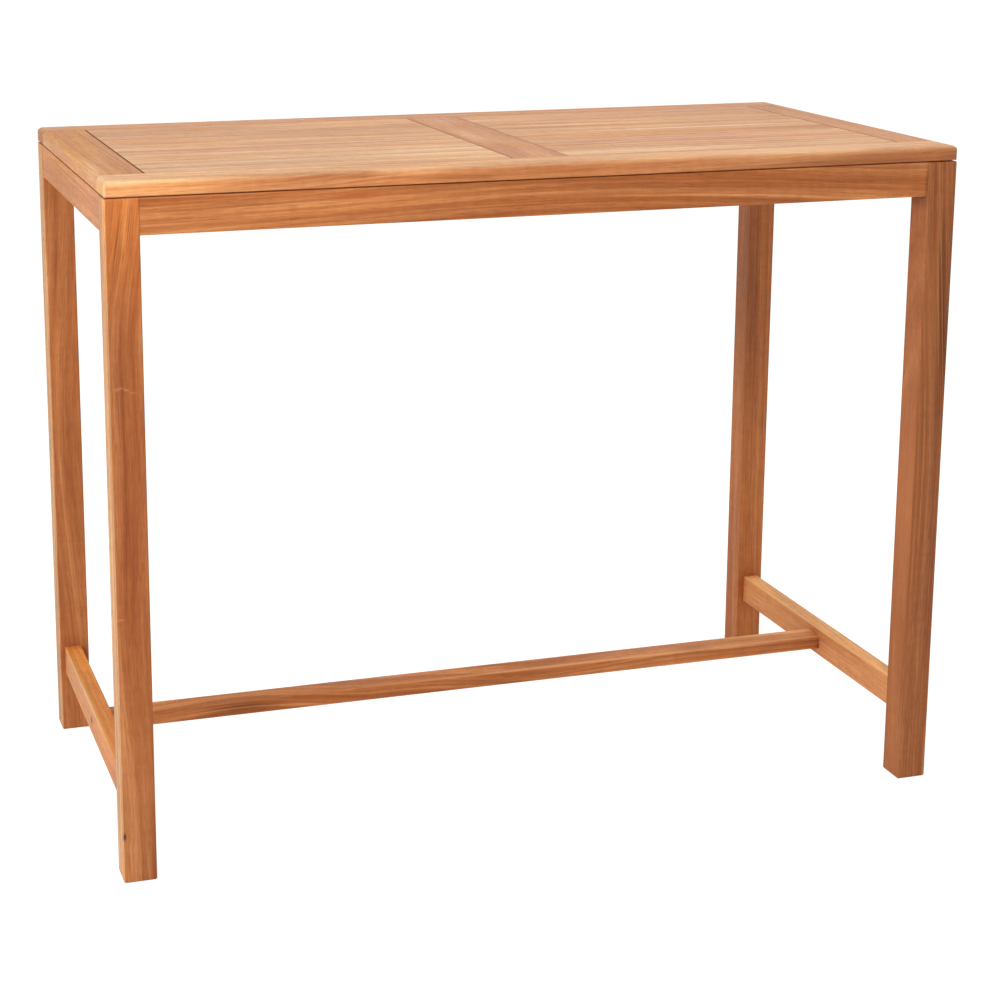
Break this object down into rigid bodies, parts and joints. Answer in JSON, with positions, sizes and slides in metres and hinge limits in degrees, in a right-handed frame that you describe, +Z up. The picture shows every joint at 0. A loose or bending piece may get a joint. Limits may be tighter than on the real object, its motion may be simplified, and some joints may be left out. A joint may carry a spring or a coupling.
{
  "type": "outdoor bar table",
  "caption": "High rectangular slatted wooden bar table on square legs, with aprons under a framed top and an H of low stretchers.",
  "frame": {"origin": "on the floor, under the middle of the top", "axes": "+X along the table to the right as seen from the front, +Y to the back, +Z up"},
  "size_m": [1.4, 0.7, 1.1],
  "materials": {
    "legs": "oiled teak, grain upright",
    "aprons": "oiled teak, grain along the board",
    "slats": "oiled teak, paler, grain along the slat",
    "stretchers": "oiled teak, grain along the rail",
    "underside_rails": "plain planed teak",
    "top_rails": "oiled teak, grain along the rail",
    "top_cross_boards": "oiled teak, grain across the table",
    "plugs": "teak end grain",
    "screws": "plain stainless steel"
  },
  "bodies": {
    "root": {"apron_back": "aprons", "apron_front": "aprons", "apron_left": "aprons", "apron_right": "aprons", "centre_bearer": "underside_rails", "cleat_back_left": "underside_rails", "cleat_back_right": "underside_rails", "cleat_front_left": "underside_rails", "cleat_front_right": "underside_rails", "cleat_left": "underside_rails", "cleat_right": "underside_rails", "end_stretcher_left": "stretchers", "end_stretcher_right": "stretchers", "leg_back_left": "legs", "leg_back_right": "legs", "leg_front_left": "legs", "leg_front_right": "legs", "long_stretcher": "stretchers", "slat_left_01": "slats", "slat_left_02": "slats", "slat_left_03": "slats", "slat_left_04": "slats", "slat_left_05": "slats", "slat_left_06": "slats", "slat_left_07": "slats", "slat_left_08": "slats", "slat_left_09": "slats", "slat_left_10": "slats", "slat_left_11": "slats", "slat_right_01": "slats", "slat_right_02": "slats", "slat_right_03": "slats", "slat_right_04": "slats", "slat_right_05": "slats", "slat_right_06": "slats", "slat_right_07": "slats", "slat_right_08": "slats", "slat_right_09": "slats", "slat_right_10": "slats", "slat_right_11": "slats", "stretcher_plugs": "plugs", "stretcher_screws": "screws", "top_centre_board": "top_cross_boards", "top_end_board_left": "top_cross_boards", "top_end_board_right": "top_cross_boards", "top_rail_back": "top_rails", "top_rail_front": "top_rails", "top_screws": "screws"}
  },
  "joints": []
}
